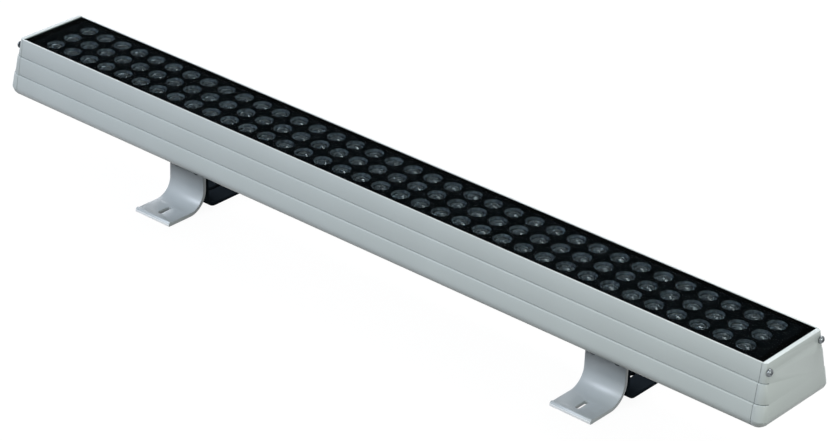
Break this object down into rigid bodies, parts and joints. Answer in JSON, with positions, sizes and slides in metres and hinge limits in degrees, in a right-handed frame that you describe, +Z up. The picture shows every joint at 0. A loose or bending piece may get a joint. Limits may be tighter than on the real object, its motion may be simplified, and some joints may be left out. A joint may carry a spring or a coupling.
{
  "type": "linear wall washer light",
  "caption": "Long outdoor wall washer light: silver-grey extruded head with a glass window over rows of lenses, on sliding brackets with tilting slotted feet.",
  "frame": {"origin": "on the floor, under the middle of the head", "axes": "+X along the head, +Y from the front feet to the rear feet, +Z up out of the glass"},
  "size_m": [1.008, 0.112, 0.138],
  "materials": {
    "housing_metal": "satin silver-grey powder coat",
    "bracket_metal": "smooth silver coat",
    "cover_glass": "clear tempered glass over a black field",
    "seal_rubber": "matt",
    "tray_plastic": "matt black",
    "lens_acrylic": "clear",
    "board_white": "white solder mask",
    "emitter": "phosphor under silicone",
    "board_green": "green solder mask",
    "case_aluminium": "mill finish",
    "terminal_plastic": "matt",
    "transformer_tape": "tape over ferrite",
    "capacitor_can": "sleeved can",
    "choke_copper": "enamelled copper",
    "lead_red": "PVC",
    "black_plastic": "moulded nylon",
    "fastener_steel": "zinc plated"
  },
  "bodies": {
    "head": {"housing": "housing_metal", "cover_glass": "cover_glass", "glass_seal": "seal_rubber", "lens_tray_left": "tray_plastic", "lens_tray_middle": "tray_plastic", "lens_tray_right": "tray_plastic", "lenses_left": "lens_acrylic", "lenses_middle": "lens_acrylic", "lenses_right": "lens_acrylic", "led_board_left": "board_white", "led_board_middle": "board_white", "led_board_right": "board_white", "led_chips": "emitter", "board_screws": "fastener_steel", "driver_case": "case_aluminium", "driver_board": "board_green", "driver_transformer": "transformer_tape", "driver_capacitors": "capacitor_can", "driver_choke": "choke_copper", "driver_terminals": "terminal_plastic", "driver_screws": "fastener_steel", "led_leads": "lead_red", "end_cap_left": "housing_metal", "end_cap_right": "housing_metal", "end_gasket_left": "seal_rubber", "end_gasket_right": "seal_rubber", "cap_screws_left": "fastener_steel", "cap_screws_right": "fastener_steel", "cable_gland": "black_plastic", "gland_seal": "seal_rubber", "gland_nut": "black_plastic", "gland_locknut": "black_plastic", "vent_plug": "black_plastic", "vent_locknut": "black_plastic"},
    "carrier_left": {"bracket_base_left": "bracket_metal", "slot_bolts_left": "fastener_steel", "slot_nuts_left": "fastener_steel", "pivot_bolt_left": "fastener_steel", "pivot_nut_left": "fastener_steel", "pivot_washers_left": "fastener_steel"},
    "carrier_right": {"bracket_base_right": "bracket_metal", "slot_bolts_right": "fastener_steel", "slot_nuts_right": "fastener_steel", "pivot_bolt_right": "fastener_steel", "pivot_nut_right": "fastener_steel", "pivot_washers_right": "fastener_steel"},
    "foot_left": {"front_foot_left": "bracket_metal", "rear_foot_left": "bracket_metal", "foot_screws_left": "fastener_steel", "foot_nuts_left": "fastener_steel"},
    "foot_right": {"front_foot_right": "bracket_metal", "rear_foot_right": "bracket_metal", "foot_screws_right": "fastener_steel", "foot_nuts_right": "fastener_steel"}
  },
  "joints": [
    {"name": "slide_left", "type": "slide", "parent": "head", "child": "carrier_left", "axis": [1, 0, 0], "range_m": [-0.08, 0.18]},
    {"name": "tilt_left", "type": "hinge", "parent": "carrier_left", "child": "foot_left", "pos_m": [-0.28, 0, 0.05855], "axis": [1, 0, 0], "range_deg": [-60, 60]},
    {"name": "slide_right", "type": "slide", "parent": "head", "child": "carrier_right", "axis": [1, 0, 0], "range_m": [-0.18, 0.08]},
    {"name": "tilt_right", "type": "hinge", "parent": "carrier_right", "child": "foot_right", "pos_m": [0.288, 0, 0.05855], "axis": [1, 0, 0], "range_deg": [-60, 60]}
  ]
}
